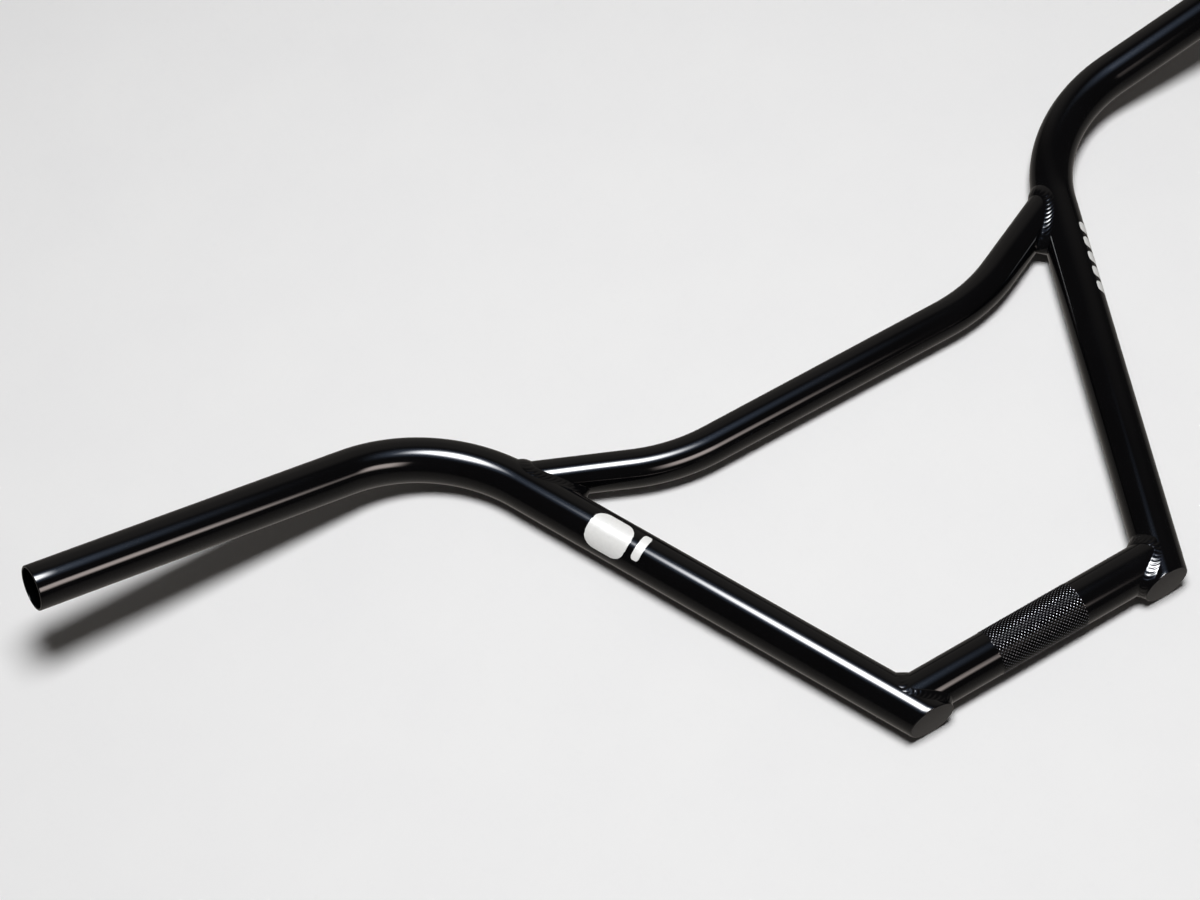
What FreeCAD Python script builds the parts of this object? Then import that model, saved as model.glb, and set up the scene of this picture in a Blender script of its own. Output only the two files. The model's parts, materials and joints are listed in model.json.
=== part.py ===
import FreeCAD, Part
import math
import os

# A welded handlebar for a small-wheeled trick bicycle, lying on its front face.
# Origin: centre of the clamp tube. +X: rider's right, along the clamp tube.
# +Y: the way the bar rises. +Z: the way the grips sweep back, up from the ground.
# Lengths are in millimetres and angles in degrees.

Vector = FreeCAD.Vector

# Driving dimensions: tubes
TUBE_DIAMETER = 22.2
SIDE_TUBE_WALL = 1.1
CLAMP_TUBE_WALL = 2.0
CROSSBAR_DIAMETER = 19.05
CROSSBAR_WALL = 0.9

# Driving dimensions: side tubes
BAR_WIDTH = 780.0
RISE = 245.0
LEG_SPACING = 146.4
LEG_LEAN_ANGLE = 23.5
GRIP_BACKSWEEP_ANGLE = 12.6
SIDE_BEND_RADIUS = 76.5
LEG_END_DROP = 14.5
CAP_THICKNESS = 2.0
RIM_OUTER_BEVEL = 0.5
RIM_INNER_BEVEL = 0.3

# Driving dimensions: crossbar
CROSSBAR_HEIGHT = 169.0
CROSSBAR_KNEE_SPACING = 179.2
CROSSBAR_END_ANGLE = 24.8
CROSSBAR_BEND_RADIUS = 96.0

# Driving dimensions: knurled band of the clamp tube
KNURL_LENGTH = 48.0
KNURL_RAISE = 0.25

# Driving dimensions: welded joints
FIT_UP_GAP = 0.15
CLAMP_WELD_WIDTH = 6.4
CROSSBAR_WELD_WIDTH = 7.6
WELD_CROWN = 0.4
WELD_SHOULDER_RATIO = 0.3
WELD_RELIEF = 0.5

# How finely a weld's path and its root are worked out. The shift angles
# crowd the stations into the narrow corner of each joint.
WELD_STATIONS = 32
CLAMP_SHIFT_ANGLE = 8.0
CROSSBAR_SHIFT_ANGLE = 26.0
ROOT_HALVINGS = 40

# How far cutters and unfinished ends run past what they cut
OVERRUN = 30.0

TUBE_RADIUS = TUBE_DIAMETER / 2
CROSSBAR_RADIUS = CROSSBAR_DIAMETER / 2
COPE_RADIUS = TUBE_RADIUS + FIT_UP_GAP
ORIGIN = Vector(0, 0, 0)
X_AXIS = Vector(1, 0, 0)
Y_AXIS = Vector(0, 1, 0)
Z_AXIS = Vector(0, 0, 1)


def unit(vector):
    return vector * (1 / vector.Length)


def sloped(angle, first, second):
    """Unit vector turned by an angle from the first axis towards the second."""
    return first * math.cos(math.radians(angle)) + second * math.sin(math.radians(angle))


# Axes of the right side tube. The left one is its mirror image.
LEG_DIRECTION = sloped(LEG_LEAN_ANGLE, Y_AXIS, X_AXIS)
GRIP_DIRECTION = sloped(GRIP_BACKSWEEP_ANGLE, X_AXIS, Z_AXIS)
LEG_FOOT = X_AXIS * (LEG_SPACING / 2)
SIDE_CORNER = LEG_FOOT + LEG_DIRECTION * (RISE / LEG_DIRECTION.y)
GRIP_LENGTH = (BAR_WIDTH / 2 - SIDE_CORNER.x) / GRIP_DIRECTION.x
GRIP_END = SIDE_CORNER + GRIP_DIRECTION * GRIP_LENGTH
SIDE_TURN_ANGLE = LEG_DIRECTION.getAngle(GRIP_DIRECTION)
SIDE_SETBACK = SIDE_BEND_RADIUS * math.tan(SIDE_TURN_ANGLE / 2)
SIDE_BEND_START = SIDE_CORNER - LEG_DIRECTION * SIDE_SETBACK
SIDE_BEND_AXIS = unit(LEG_DIRECTION.cross(GRIP_DIRECTION))
SIDE_BEND_CENTRE = SIDE_BEND_START + SIDE_BEND_AXIS.cross(LEG_DIRECTION) * SIDE_BEND_RADIUS

# Axis of the crossbar's right half. Its end runs up to the leg's axis.
CROSSBAR_KNEE = Vector(CROSSBAR_KNEE_SPACING / 2, CROSSBAR_HEIGHT, 0)
CROSSBAR_END_DIRECTION = sloped(CROSSBAR_END_ANGLE, X_AXIS, Y_AXIS)
KNEE_TO_FOOT = LEG_FOOT - CROSSBAR_KNEE
CROSSBAR_END_LENGTH = (KNEE_TO_FOOT.cross(LEG_DIRECTION).z
                       / CROSSBAR_END_DIRECTION.cross(LEG_DIRECTION).z)
CROSSBAR_END = CROSSBAR_KNEE + CROSSBAR_END_DIRECTION * CROSSBAR_END_LENGTH


def straight_rod(start, end, radius):
    """Solid round bar between two points."""
    return Part.makeCylinder(radius, start.distanceToPoint(end), start, unit(end - start))


def bent_rod(corners, bend_radius, radius):
    """Solid round bar along straight runs, with a round bend at each inner corner."""
    runs = []
    start = corners[0]
    for before, corner, after in zip(corners, corners[1:], corners[2:]):
        heading_in = unit(corner - before)
        heading_out = unit(after - corner)
        turn = heading_in.getAngle(heading_out)
        setback = bend_radius * math.tan(turn / 2)
        bend_start = corner - heading_in * setback
        runs.append(straight_rod(start, bend_start, radius))
        bend_axis = unit(heading_in.cross(heading_out))
        bend_centre = bend_start + bend_axis.cross(heading_in) * bend_radius
        rim = Part.Circle(bend_start, heading_in, radius).toShape()
        disc = Part.Face(Part.Wire([rim]))
        runs.append(disc.revolve(bend_centre, bend_axis, math.degrees(turn)))
        start = corner + heading_out * setback
    runs.append(straight_rod(start, corners[-1], radius))
    return runs[0].fuse(runs[1:]).removeSplitter()


def side_rod(radius, grip_overrun=0.0):
    """Solid bar on the right side tube's axis, long at the leg's lower end."""
    leg_start = LEG_FOOT - LEG_DIRECTION * (LEG_END_DROP + OVERRUN)
    grip_stop = GRIP_END + GRIP_DIRECTION * grip_overrun
    return bent_rod([leg_start, SIDE_CORNER, grip_stop], SIDE_BEND_RADIUS, radius)


def slab_below(top, thickness):
    """Block that holds the leg's lower end between two heights along the rise."""
    span = LEG_SPACING + 2 * OVERRUN
    corner = Vector(0, top - thickness, -span / 2)
    return Part.makeBox(span, thickness, span, corner)


def bevelled_rim(tube, radius, size):
    """Break the edge of the grip's open end that has the given radius."""
    for edge in tube.Edges:
        curve = edge.Curve
        if isinstance(curve, Part.Circle) and abs(curve.Radius - radius) < FIT_UP_GAP:
            if curve.Center.distanceToPoint(GRIP_END) < FIT_UP_GAP:
                return tube.makeChamfer(size, [edge])
    raise ValueError("the grip has no open rim of that radius")


def right_side_tube():
    """Leg, bend and grip from one length of tube, open at the grip's end."""
    bore_radius = TUBE_RADIUS - SIDE_TUBE_WALL
    tube = side_rod(TUBE_RADIUS).cut(side_rod(bore_radius, OVERRUN))
    tube = tube.cut(slab_below(CAP_THICKNESS - LEG_END_DROP, 3 * OVERRUN))
    tube = bevelled_rim(tube, TUBE_RADIUS, RIM_OUTER_BEVEL)
    return bevelled_rim(tube, bore_radius, RIM_INNER_BEVEL)


def right_leg_cap():
    """Plate with the leg's own slanted outline, flush with its wall."""
    return side_rod(TUBE_RADIUS).common(slab_below(CAP_THICKNESS - LEG_END_DROP, CAP_THICKNESS))


def cope(shape):
    """Fish-mouth a shape to both side tubes, with the fit-up gap."""
    right_cutter = side_rod(COPE_RADIUS)
    return shape.cut(right_cutter).cut(mirrored(right_cutter))


def mirrored(shape):
    """The same shape on the rider's left."""
    return shape.mirror(ORIGIN, X_AXIS)


def clamp_tube():
    """Turned tube with a raised band for the knurl, coped to both legs."""
    half_length = LEG_SPACING / 2
    half_knurl = KNURL_LENGTH / 2
    bore_radius = TUBE_RADIUS - CLAMP_TUBE_WALL
    crest_radius = TUBE_RADIUS + KNURL_RAISE
    outline = [
        Vector(-half_length, bore_radius, 0),
        Vector(-half_length, TUBE_RADIUS, 0),
        Vector(-half_knurl - KNURL_RAISE, TUBE_RADIUS, 0),
        Vector(-half_knurl, crest_radius, 0),
        Vector(half_knurl, crest_radius, 0),
        Vector(half_knurl + KNURL_RAISE, TUBE_RADIUS, 0),
        Vector(half_length, TUBE_RADIUS, 0),
        Vector(half_length, bore_radius, 0),
    ]
    profile = Part.Face(Part.makePolygon(outline + outline[:1]))
    return cope(profile.revolve(ORIGIN, X_AXIS, 360))


def crossbar_rod(radius):
    """Solid bar on the crossbar's axis, from one leg's axis to the other's."""
    left_end = Vector(-CROSSBAR_END.x, CROSSBAR_END.y, 0)
    left_knee = Vector(-CROSSBAR_KNEE.x, CROSSBAR_KNEE.y, 0)
    corners = [left_end, left_knee, CROSSBAR_KNEE, CROSSBAR_END]
    return bent_rod(corners, CROSSBAR_BEND_RADIUS, radius)


def crossbar():
    """Twice-bent tube, coped to both side tubes."""
    tube = crossbar_rod(CROSSBAR_RADIUS).cut(crossbar_rod(CROSSBAR_RADIUS - CROSSBAR_WALL))
    return cope(tube)


def nearest_on_side_axis(point):
    """Foot of the shortest line from a point to the axis of the leg or its bend."""
    along = (point - LEG_FOOT).dot(LEG_DIRECTION)
    bend_along = (SIDE_BEND_START - LEG_FOOT).dot(LEG_DIRECTION)
    if along < bend_along:
        return LEG_FOOT + LEG_DIRECTION * along
    spoke = point - SIDE_BEND_CENTRE
    spoke = spoke - SIDE_BEND_AXIS * spoke.dot(SIDE_BEND_AXIS)
    return SIDE_BEND_CENTRE + unit(spoke) * SIDE_BEND_RADIUS


def root_point(line_start, heading):
    """Where a line along a branch tube's wall comes out of the side tube's cope."""
    inside = 0.0
    outside = OVERRUN
    for _ in range(ROOT_HALVINGS):
        middle = (inside + outside) / 2
        point = line_start + heading * middle
        if point.distanceToPoint(nearest_on_side_axis(point)) < COPE_RADIUS:
            inside = middle
        else:
            outside = middle
    return line_start + heading * outside


def at_side_radius(point, radius):
    """The point moved straight out or in, to a radius about the side tube's axis."""
    axis_point = nearest_on_side_axis(point)
    return axis_point + unit(point - axis_point) * radius


def weld_section(root, run, spread, heading, width):
    """Corners of one cross-section of a weld bead: its toes, its crown and its root."""
    side_normal = unit(root - nearest_on_side_axis(root))
    along_side = unit(run.cross(side_normal))
    opening = along_side.getAngle(heading)
    leg = width / 2 / math.sin(opening / 2)
    if along_side.y < 0:
        leg = min(leg, (root.y + LEG_END_DROP) / -along_side.y)
    branch_toe = root + heading * leg
    side_toe = at_side_radius(root + along_side * leg, COPE_RADIUS)
    footing = at_side_radius((root + side_toe) / 2, COPE_RADIUS + WELD_RELIEF)
    chord = side_toe - branch_toe
    crown = unit(side_normal + spread) * WELD_CROWN
    return [
        branch_toe,
        branch_toe + chord * WELD_SHOULDER_RATIO + crown,
        side_toe - chord * WELD_SHOULDER_RATIO + crown,
        side_toe,
        footing,
        root,
    ]


def faceted_ring(sections):
    """Solid ring with flat three-sided facets between one cross-section and the next."""
    facets = []
    for here, ahead in zip(sections, sections[1:] + sections[:1]):
        for low in range(len(here)):
            high = (low + 1) % len(here)
            for facet in ([here[low], ahead[low], ahead[high]], [here[low], ahead[high], here[high]]):
                facets.append(Part.Face(Part.makePolygon(facet + facet[:1])))
    skin = Part.makeShell(facets)
    skin.sewShape()
    return Part.makeSolid(skin)


def weld_bead(joint, heading, radius, width, shift):
    """Bead around the line where a branch tube meets the right side tube."""
    across = unit(heading.cross(Z_AXIS))
    spreads = []
    roots = []
    for station in range(WELD_STATIONS):
        even_angle = 360 * station / WELD_STATIONS
        angle = even_angle + shift * math.sin(math.radians(even_angle))
        spread = sloped(angle, across, heading.cross(across))
        spreads.append(spread)
        roots.append(root_point(joint + spread * (radius + FIT_UP_GAP), heading))
    sections = []
    for station in range(WELD_STATIONS):
        run = roots[(station + 1) % WELD_STATIONS] - roots[station - 1]
        sections.append(weld_section(roots[station], run, spreads[station], heading, width))
    return faceted_ring(sections)


def right_clamp_weld():
    """Bead around the clamp tube's end, flush with the leg's cap in the lower corner."""
    return weld_bead(LEG_FOOT, -X_AXIS, TUBE_RADIUS, CLAMP_WELD_WIDTH, CLAMP_SHIFT_ANGLE)


def right_crossbar_weld():
    """Bead around the crossbar's end, deepest in the narrow corner under it."""
    heading = -CROSSBAR_END_DIRECTION
    return weld_bead(CROSSBAR_END, heading, CROSSBAR_RADIUS,
                     CROSSBAR_WELD_WIDTH, CROSSBAR_SHIFT_ANGLE)


def main():
    os.makedirs("parts", exist_ok=True)
    clamp_tube().exportStep("parts/clamp_tube.step")
    crossbar().exportStep("parts/crossbar.step")
    paired = {
        "side_tube": right_side_tube(),
        "leg_cap": right_leg_cap(),
        "clamp_weld": right_clamp_weld(),
        "crossbar_weld": right_crossbar_weld(),
    }
    for name, shape in paired.items():
        shape.exportStep("parts/right_" + name + ".step")
        mirrored(shape).exportStep("parts/left_" + name + ".step")


main()
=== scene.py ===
import json
import math
from collections import namedtuple

import bmesh
import bpy
from bpy.props import FloatProperty, FloatVectorProperty, IntProperty, PointerProperty
from mathutils import Matrix, Vector


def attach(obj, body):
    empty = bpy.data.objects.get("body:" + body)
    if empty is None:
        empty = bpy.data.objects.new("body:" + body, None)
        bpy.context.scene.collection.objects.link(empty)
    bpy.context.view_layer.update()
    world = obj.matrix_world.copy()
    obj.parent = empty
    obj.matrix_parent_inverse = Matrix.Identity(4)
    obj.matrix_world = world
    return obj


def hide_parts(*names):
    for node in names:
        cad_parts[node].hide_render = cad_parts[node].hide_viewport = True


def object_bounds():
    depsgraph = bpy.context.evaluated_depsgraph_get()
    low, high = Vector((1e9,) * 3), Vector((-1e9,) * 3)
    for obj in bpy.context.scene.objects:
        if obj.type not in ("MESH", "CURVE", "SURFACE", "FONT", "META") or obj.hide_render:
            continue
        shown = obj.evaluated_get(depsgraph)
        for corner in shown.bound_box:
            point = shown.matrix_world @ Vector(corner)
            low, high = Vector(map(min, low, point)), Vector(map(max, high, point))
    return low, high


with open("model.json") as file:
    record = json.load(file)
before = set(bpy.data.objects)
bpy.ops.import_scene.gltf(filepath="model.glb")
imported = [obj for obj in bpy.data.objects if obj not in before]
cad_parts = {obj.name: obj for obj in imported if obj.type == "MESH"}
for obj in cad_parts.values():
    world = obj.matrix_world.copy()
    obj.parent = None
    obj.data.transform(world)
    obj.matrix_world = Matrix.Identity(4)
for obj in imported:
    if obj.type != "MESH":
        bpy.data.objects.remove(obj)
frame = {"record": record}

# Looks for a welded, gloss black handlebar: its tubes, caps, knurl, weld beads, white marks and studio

bl_info = {
    "name": "Welded Handlebar",
    "version": (1, 0, 0),
    "blender": (4, 5, 0),
    "location": "3D View > Sidebar > Handlebar",
    "description": "Builds a gloss black welded handlebar and its studio around a packed frame",
    "category": "Object",
}

# What the frame says: its box, and the sizes and places of its mounts, in metres
CAD_BOX = [list(corner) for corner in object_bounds()]
MM = 0.001
MOUNTS = {mount["name"]: mount for mount in frame["record"]["mounts"]}
GRIP_MOUNT = MOUNTS["right_grip"]
TUBE_RADIUS = GRIP_MOUNT["dims"]["r_mm"] * MM
BORE_RADIUS = MOUNTS["right_bar_end"]["dims"]["r_mm"] * MM
GRIP_DIRECTION = Vector(GRIP_MOUNT["axis"]).normalized()
RISE = GRIP_MOUNT["pos_m"][1]
BAND_RADIUS = MOUNTS["stem_clamp"]["dims"]["r_mm"] * MM
BAND_LENGTH = MOUNTS["stem_clamp"]["dims"]["length_mm"] * MM
FLOOR_HEIGHT = CAD_BOX[0][2]

X_AXIS = Vector((1, 0, 0))
Y_AXIS = Vector((0, 1, 0))
Z_AXIS = Vector((0, 0, 1))
MIRROR = Vector((-1, 1, 1))

# How finely the pieces are meshed
TUBE_SEGMENTS = 96
BEND_STEP = math.radians(1.5)
STRAIGHT_STEP = 12 * MM
RIM_STEPS = 5
ROOT_HALVINGS = 40
WELD_TABLE_STEPS = 360
RIPPLE_STEPS = 10
WELD_FACE_STEPS = 12
KNURL_STEPS = 4
MARK_STEP = 0.5 * MM
SHARP_ANGLE = math.radians(40)

# From a leg's axis along a branch tube: how far their corner is searched for, and where the
# clamp tube is plain again
ROOT_REACH = 4 * TUBE_RADIUS
CLEAR_OF_COPE = 2.5 * TUBE_RADIUS

# White marks: metres up the leg, and turns around it from its outer side over its top
Patch = namedtuple("Patch", "low high first last")
LEFT_BARS = {
    "wide": Patch(low=0.150, high=0.173, first=math.radians(14), last=math.radians(119)),
    "narrow": Patch(low=0.142, high=0.1465, first=math.radians(42), last=math.radians(119)),
}
DASH_START = 0.152
DASH_PITCH = 0.0095
DASH_LENGTH = 0.0065
DASH_COUNT = 5
DASH_FIRST_TURN = math.radians(15)
DASH_LAST_TURN = math.radians(53)
MARK_CORNER_SHARE = 0.35

# Where the room's tones change: how far a direction faces the wall, or how high it points
WALL_EDGE = 0.70
WALL_MIDDLE = 0.92
GROUND_BELOW = -0.95
GROUND_AWAY = -0.12
GROUND_END = -0.04

# Size of the studio paper in metres, and of the camera's sensor in millimetres
FLOOR_SIZE = (80.0, 80.0)
SENSOR_WIDTH = 36.0


def linear(hex_colour):
    """sRGB hex value as linear red, green, blue and an alpha of one."""
    channels = [int(hex_colour[start:start + 2], 16) / 255 for start in (1, 3, 5)]
    curve = [c / 12.92 if c <= 0.04045 else ((c + 0.055) / 1.055) ** 2.4 for c in channels]
    return (*curve, 1.0)


# Kinds of property


def length(name, metres, description):
    """Property for one length."""
    return FloatProperty(name=name, description=description, default=metres, unit="LENGTH")


def angle(name, degrees, description):
    """Property for one angle."""
    return FloatProperty(name=name, description=description, default=math.radians(degrees), subtype="ANGLE")


def level(name, number, description, unit="NONE"):
    """Property for a brightness, or for a number with a unit of its own."""
    return FloatProperty(name=name, description=description, default=number, unit=unit)


def fraction(name, number, description):
    """Property for a part of a whole."""
    return FloatProperty(name=name, description=description, default=number, subtype="FACTOR")


def place(name, metres, description):
    """Property for a point in the frame."""
    return FloatVectorProperty(
        name=name, description=description, default=metres, subtype="TRANSLATION", unit="LENGTH")


def sheet_size(name, metres, description):
    """Property for the width and depth of something flat."""
    return FloatVectorProperty(name=name, description=description, default=metres, size=2, unit="LENGTH")


def colour(name, hex_colour, description):
    """Property for one colour."""
    return FloatVectorProperty(
        name=name, description=description, default=linear(hex_colour), size=4, subtype="COLOR")


class HandlebarSizes(bpy.types.PropertyGroup):
    """Real sizes of the bar, apart from those that the frame's mounts give"""

    leg_spacing: length("Leg Spacing", 0.1464, "Between the legs' axes at the clamp tube")
    leg_lean: angle("Leg Lean", 23.5, "Each leg's lean away from the middle plane")
    side_bend_radius: length("Side Bend Radius", 0.0765, "Axis radius of the bend from leg to grip")
    leg_end_drop: length("Leg End Drop", 0.0145, "From the clamp tube's axis down to the leg caps' faces")
    cap_thickness: length("Cap Thickness", 0.002, "Thickness of the plate that closes each leg")
    edge_round: length("Edge Round", 0.0005, "Radius of the painted outer edges of rims and caps")
    bore_round: length("Bore Round", 0.0003, "Radius of the painted inner edge of a grip's end")
    clamp_wall: length("Clamp Tube Wall", 0.002, "Wall thickness of the clamp tube")
    crossbar_diameter: length("Crossbar Diameter", 0.01905, "Outside diameter of the crossbar")
    crossbar_wall: length("Crossbar Wall", 0.0009, "Wall thickness of the crossbar")
    crossbar_height: length("Crossbar Height", 0.169, "From the clamp tube's axis to the crossbar's middle")
    crossbar_knee_spacing: length(
        "Crossbar Knee Spacing", 0.1792, "Between the corners of the crossbar's axis")
    crossbar_end_slope: angle("Crossbar End Slope", 24.8, "Slope of the crossbar's ends")
    crossbar_bend_radius: length("Crossbar Bend Radius", 0.096, "Axis radius of the crossbar's bends")
    fit_up_gap: length("Fit Up Gap", 0.00015, "Gap between a coped tube end and the side tube")
    clamp_weld_width: length("Clamp Weld Width", 0.0064, "Width of the beads at the clamp tube")
    crossbar_weld_width: length("Crossbar Weld Width", 0.0068, "Width of the beads at the crossbar")
    weld_crown: length("Weld Crown", 0.0002, "Rise of a bead over the line between its toes")
    weld_hollow: length("Weld Hollow", 0.00035, "Sag of a bead's face where it fills a corner between tubes")
    crossbar_weld_knuckle: length(
        "Crossbar Weld Knuckle", 0.0006, "Added rise where the crossbar's joint is widest")
    weld_flow: length("Weld Flow", 0.006, "Length over which molten metal rounds off a bead's corners")
    weld_toe_sink: length("Weld Toe Sink", 0.00008, "How far a bead's toes melt into the tubes")
    ripple_pitch: length("Ripple Pitch", 0.0023, "Between the ripples of a weld bead")
    ripple_height: length("Ripple Height", 0.00014, "Height of a weld bead's ripples")
    ripple_bow: length("Ripple Bow", 0.0018, "How far a ripple's middle runs ahead of its ends")
    knurl_pitch: length("Knurl Pitch", 0.002, "Between the knurl's diamonds along the tube")
    knurl_depth: length("Knurl Depth", 0.0004, "From the knurl's crests to its grooves")
    knurl_count: IntProperty(
        name="Knurl Count", description="Diamonds in one ring around the clamp tube", default=34)
    mark_thickness: length("Mark Thickness", 0.00005, "Thickness of the white marks on the legs")


class HandlebarFinish(bpy.types.PropertyGroup):
    """Colours of the paint, the marks and the studio"""

    paint_dark: colour("Paint Dark", "#030304", "Darker tone of the black paint")
    paint_light: colour("Paint Light", "#08080A", "Lighter tone of the black paint")
    # Painted reflection: the leg caps' greys are lighter than the black paint and stand in for the floor's
    # reflection on their faces
    satin_and_reflection_dark: colour("Satin Dark", "#232221", "Darker tone of the flatter paint on the leg caps")
    satin_and_reflection_light: colour("Satin Light", "#2B2A29", "Lighter tone of the flatter paint on the leg caps")
    # Painted highlight: the knurl crests' lighter tone stands in for glints of the gloss paint
    crest_glint_grey: colour("Crest Grey", "#909096", "Tone of the knurl's crests, where the paint is thin")
    mark_white: colour("Mark White", "#F4F4F2", "White of the marks on the legs")
    mark_shade: colour("Mark Shade", "#E8E8E6", "Slightly greyer tone of the marks")
    paper_light: colour("Paper Light", "#F0F0F0", "Lighter tone of the studio paper")
    paper_dark: colour("Paper Dark", "#EBEBEC", "Darker tone of the studio paper")
    backdrop: colour("Backdrop", "#D2D2D2", "The paper far from the bar, as the camera sees it")
    key_white: colour("Key White", "#FFFFFF", "Light of the overhead softbox")
    skirt_blue: colour("Skirt Blue", "#BFD8FF", "Cool glow around the overhead softbox")
    front_warm: colour("Front Warm", "#FFF0EA", "Light of the front softbox")
    room_tint: colour("Room Tint", "#EBE4DD", "Light of the dim room")


class StudioSettings(bpy.types.PropertyGroup):
    """Lamps and camera of the studio"""

    lamp_place: place("Lamp Place", (-0.08, 0.055, 1.8), "Middle of the soft lamp that lights the scene")
    lamp_size: sheet_size("Lamp Size", (0.86, 0.56), "Width and depth of the soft overhead lamp")
    lamp_power: level("Lamp Power", 32.0, "Power of the soft overhead lamp", unit="POWER")
    key_place: place("Key Place", (-0.08, 0.316, 1.395), "Middle of the overhead softbox in the paint")
    key_size: sheet_size("Key Size", (0.83, 0.78), "Width and depth of the overhead softbox")
    key_strength: level("Key Strength", 62.0, "Brightness of the overhead softbox")
    key_fade: fraction("Key Fade", 1.0, "Share of the overhead softbox that fades towards its edges")
    skirt_size: sheet_size("Skirt Size", (1.5, 1.4), "Width and depth of the glow around the softbox")
    skirt_strength: level("Skirt Strength", 3.0, "Brightness of the glow around the softbox")
    skirt_lift: length("Skirt Lift", 0.02, "From the overhead softbox up to the glow around it")
    front_place: place("Front Place", (0.072, -0.9, 0.765), "Middle of the front softbox in the paint")
    front_size: sheet_size("Front Size", (0.93, 0.76), "Width and height of the front softbox")
    front_strength: level("Front Strength", 8.0, "Brightness of the front softbox")
    front_fade: fraction("Front Fade", 0.72, "Share of the front softbox that fades towards its edges")
    room_dark: level("Room Dark", 0.042, "Brightness of the dark room that the paint reflects")
    wall_direction: FloatVectorProperty(
        name="Wall Direction", description="The way from the bar to the room's one pale wall",
        default=(0.526, 0.810, 0.259), subtype="DIRECTION")
    wall_strength: level("Wall Strength", 0.24, "Brightness of the pale wall")
    ground_near: level("Ground Near", 0.40, "Brightness of the ground straight below, in the paint")
    ground_far: level("Ground Far", 0.15, "Brightness of the ground far away, in the paint")
    camera_place: place("Camera Place", (-0.490357, -0.508438, 1.179981), "Where the camera stands")
    camera_azimuth: angle("Camera Azimuth", -27.974, "Turn of the view about the upright axis")
    camera_elevation: angle("Camera Elevation", 55.951, "Height of the view above level")
    camera_roll: angle("Camera Roll", -4.242, "Tilt of the view about its own axis")
    camera_lens: level("Camera Lens", 87.5, "Focal length of the camera's lens", unit="CAMERA")


# Axes of the bar


class BarAxes:
    """Lines that the right half of the bar is built on, worked out from its sizes."""

    def __init__(self, sizes):
        self.leg = Vector((math.sin(sizes.leg_lean), math.cos(sizes.leg_lean), 0))
        self.foot = X_AXIS * (sizes.leg_spacing / 2)
        self.corner = self.foot + self.leg * (RISE / self.leg.y)
        grip_middle = Vector(GRIP_MOUNT["pos_m"])
        half_grip = GRIP_MOUNT["dims"]["length_mm"] * MM / 2
        self.grip_end = grip_middle + GRIP_DIRECTION * (half_grip + sizes.edge_round)
        self.cap_top = sizes.cap_thickness - sizes.leg_end_drop
        self.cap_face = -sizes.leg_end_drop
        turn = self.leg.angle(GRIP_DIRECTION)
        self.bend_radius = sizes.side_bend_radius
        self.bend_start = self.corner - self.leg * (self.bend_radius * math.tan(turn / 2))
        self.bend_axis = self.leg.cross(GRIP_DIRECTION).normalized()
        self.bend_centre = self.bend_start + self.bend_axis.cross(self.leg) * self.bend_radius
        self.cope_radius = TUBE_RADIUS + sizes.fit_up_gap
        slope = sizes.crossbar_end_slope
        self.crossbar_heading = Vector((math.cos(slope), math.sin(slope), 0))
        self.knee = Vector((sizes.crossbar_knee_spacing / 2, sizes.crossbar_height, 0))
        to_foot = self.foot - self.knee
        reach = to_foot.cross(self.leg).z / self.crossbar_heading.cross(self.leg).z
        self.crossbar_end = self.knee + self.crossbar_heading * reach

    def nearest(self, point):
        """Foot of the shortest line from a point to the leg's axis or its bend's."""
        along = (point - self.foot).dot(self.leg)
        if along < (self.bend_start - self.foot).dot(self.leg):
            return self.foot + self.leg * along
        spoke = point - self.bend_centre
        spoke -= self.bend_axis * spoke.dot(self.bend_axis)
        return self.bend_centre + spoke.normalized() * self.bend_radius

    def at_radius(self, point, radius):
        """The point moved straight out or in, to a radius about the side tube's axis."""
        middle = self.nearest(point)
        return middle + (point - middle).normalized() * radius

    def root(self, line_start, heading):
        """Where a line along a branch tube's wall comes out of the side tube's cope."""
        inside = 0.0
        outside = ROOT_REACH
        for _ in range(ROOT_HALVINGS):
            middle = (inside + outside) / 2
            point = line_start + heading * middle
            if (point - self.nearest(point)).length < self.cope_radius:
                inside = middle
            else:
                outside = middle
        return line_start + heading * outside


def straight_stations(start, end):
    """Points and headings along a straight run, its ends included."""
    heading = (end - start).normalized()
    steps = max(1, math.ceil((end - start).length / STRAIGHT_STEP))
    return [(start.lerp(end, step / steps), heading) for step in range(steps + 1)]


def bent_stations(corners, bend_radius):
    """Points and headings along straight runs, with a round bend at each inner corner."""
    stations = []
    start = corners[0]
    for before, corner, after in zip(corners, corners[1:], corners[2:]):
        heading_in = (corner - before).normalized()
        heading_out = (after - corner).normalized()
        turn = heading_in.angle(heading_out)
        setback = bend_radius * math.tan(turn / 2)
        bend_start = corner - heading_in * setback
        bend_axis = heading_in.cross(heading_out).normalized()
        centre = bend_start + bend_axis.cross(heading_in) * bend_radius
        stations += straight_stations(start, bend_start)[:-1]
        steps = math.ceil(turn / BEND_STEP)
        for step in range(steps):
            rotation = Matrix.Rotation(turn * step / steps, 3, bend_axis)
            stations.append((centre + rotation @ (bend_start - centre), rotation @ heading_in))
        start = corner + heading_out * setback
    return stations + straight_stations(start, corners[-1])


def spokes(heading, side, segments):
    """Unit vectors around a heading, counted from a side direction."""
    other = heading.cross(side)
    turns = [2 * math.pi * step / segments for step in range(segments)]
    return [side * math.cos(turn) + other * math.sin(turn) for turn in turns]


def ring(station, side, radius, segments=TUBE_SEGMENTS):
    """Circle of points about one station of a tube's axis."""
    point, heading = station
    return [point + spoke * radius for spoke in spokes(heading, side, segments)]


def mirrored(rings):
    """The same rings on the rider's left, turned round so that faces still look outwards."""
    return [[point * MIRROR for point in reversed(one)] for one in rings]


# Meshes


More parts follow.
